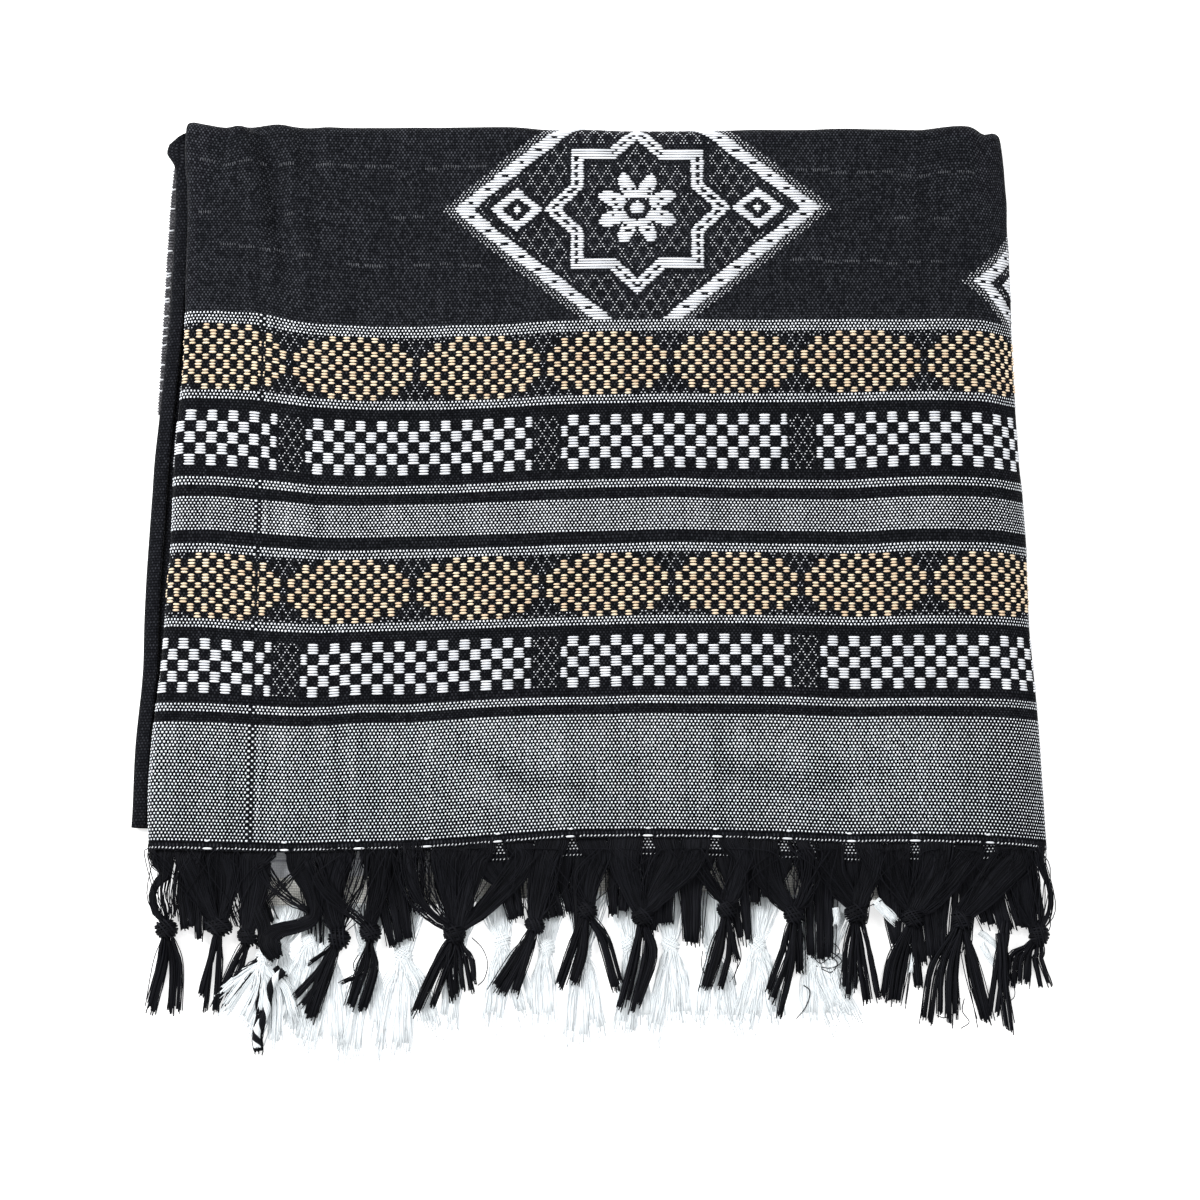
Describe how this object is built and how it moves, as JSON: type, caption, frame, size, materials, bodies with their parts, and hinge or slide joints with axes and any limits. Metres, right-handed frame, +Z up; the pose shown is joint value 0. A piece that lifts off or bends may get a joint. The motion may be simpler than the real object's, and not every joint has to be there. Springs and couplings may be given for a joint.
{
  "type": "prayer shawl",
  "caption": "Handwoven prayer shawl folded flat into a bundle, black ground with a white, grey and gold end border, and knotted black and white tassels along the hem.",
  "frame": {"origin": "on the surface it lies on, under the middle of the bundle and its fringes", "axes": "+X across the bundle to the right of its face, +Y from the fringe to the top fold, +Z up out of the bundle's face"},
  "size_m": [0.43, 0.4604, 0.0149],
  "materials": {
    "border_cloth": "matte plain weave, black warp with white and gold weft in bands",
    "black_cloth": "matte black plain weave",
    "selvedge": "matte grey selvedge with white weft loops",
    "white_warp_cloth": "matte pale plain weave, white warp with grey and cream weft",
    "black_yarn": "soft black cotton yarn",
    "white_yarn": "soft white cotton yarn"
  },
  "bodies": {
    "root": {"front_panel": "border_cloth", "back_panel": "black_cloth", "folded_layers": "black_cloth", "second_end": "border_cloth", "selvedge_ply": "selvedge", "white_end": "white_warp_cloth", "fringe_net": "black_yarn", "second_fringe": "black_yarn", "mixed_tassel": "white_yarn", "tassel_01": "black_yarn", "tassel_02": "black_yarn", "tassel_03": "black_yarn", "tassel_04": "black_yarn", "tassel_05": "black_yarn", "tassel_06": "black_yarn", "tassel_07": "black_yarn", "tassel_08": "black_yarn", "tassel_09": "black_yarn", "tassel_10": "black_yarn", "tassel_11": "black_yarn", "tassel_12": "black_yarn", "tassel_13": "black_yarn", "tassel_14": "black_yarn", "tassel_15": "black_yarn", "white_tassel_01": "white_yarn", "white_tassel_02": "white_yarn", "white_tassel_03": "white_yarn", "white_tassel_04": "white_yarn", "white_tassel_05": "white_yarn", "white_tassel_06": "white_yarn", "white_tassel_07": "white_yarn", "white_tassel_08": "white_yarn", "white_tassel_09": "white_yarn", "white_tassel_10": "white_yarn", "white_tassel_11": "white_yarn", "white_tassel_12": "white_yarn", "white_tassel_13": "white_yarn", "white_tassel_14": "white_yarn"}
  },
  "joints": []
}
